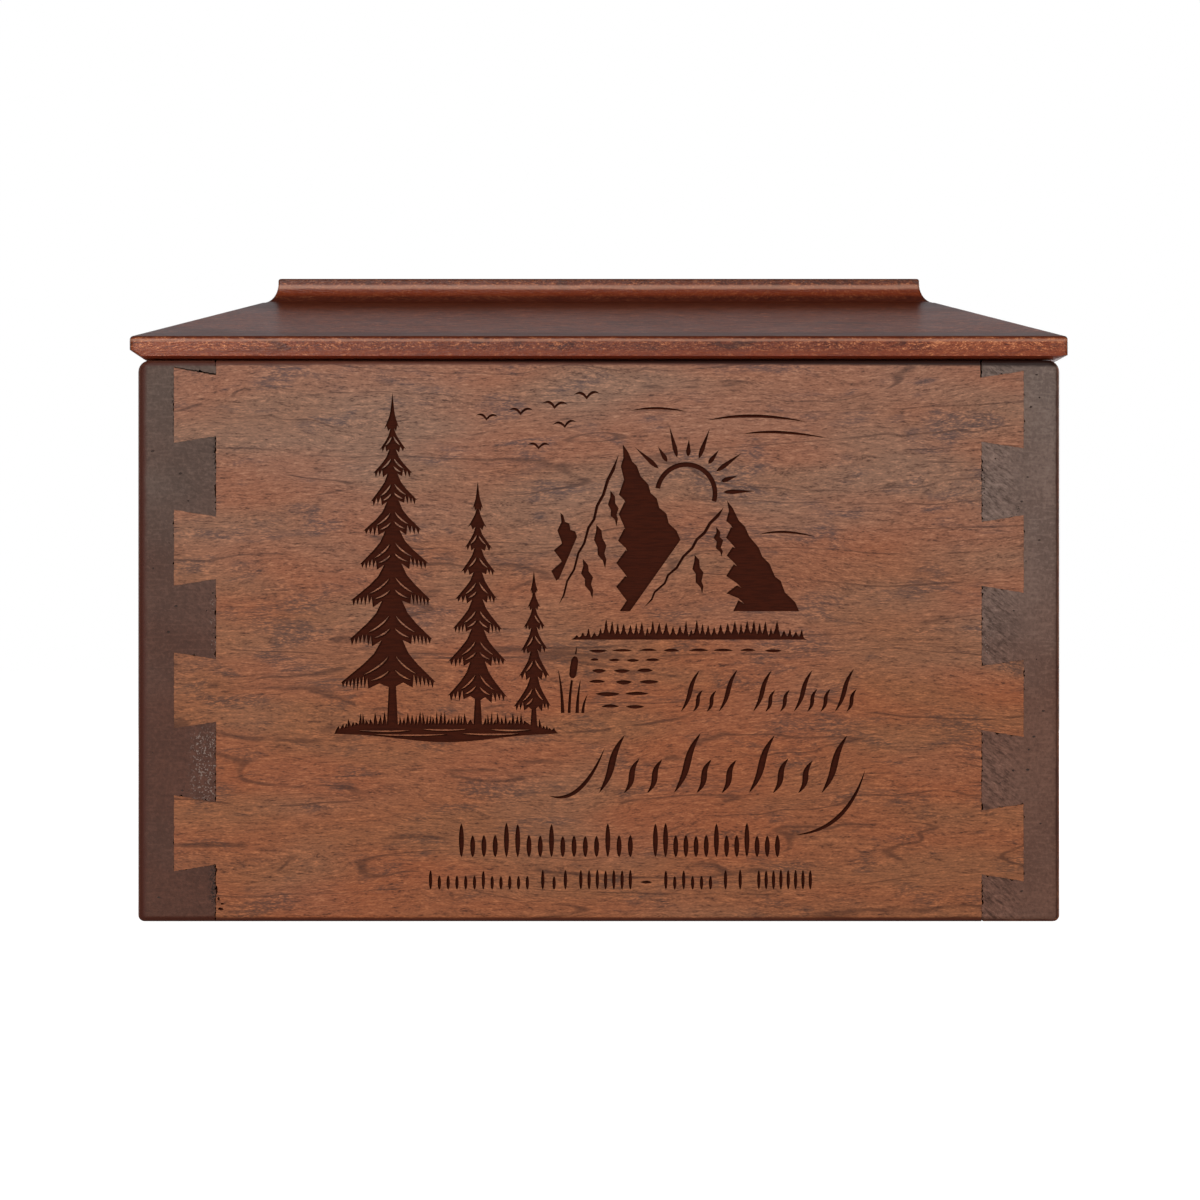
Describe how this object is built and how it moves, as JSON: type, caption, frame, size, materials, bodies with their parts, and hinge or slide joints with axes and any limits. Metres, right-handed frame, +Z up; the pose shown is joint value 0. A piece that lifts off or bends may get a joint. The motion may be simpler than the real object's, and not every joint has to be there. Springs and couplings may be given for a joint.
{
  "type": "cremation urn box",
  "caption": "Dovetailed wooden cremation urn box, hollow and empty, with a loose raised-panel lid and a shallow engraved lake scene and rows of strokes on its front.",
  "frame": {"origin": "middle of the box's footprint, at the height of the surface that the box stands on", "axes": "+Z up, +X along the box's length to the viewer's right when the engraved front is faced, -Y out of the engraved front"},
  "size_m": [0.234, 0.179, 0.1617],
  "materials": {
    "front_wood": "satin",
    "back_wood": "satin",
    "left_end_wood": "satin",
    "right_end_wood": "satin",
    "panel_wood": "satin",
    "lid_wood": "satin"
  },
  "bodies": {
    "root": {"front_board": "front_wood", "back_board": "back_wood", "left_end_board": "left_end_wood", "right_end_board": "right_end_wood", "bottom_panel": "panel_wood", "lid": "lid_wood"}
  },
  "joints": []
}
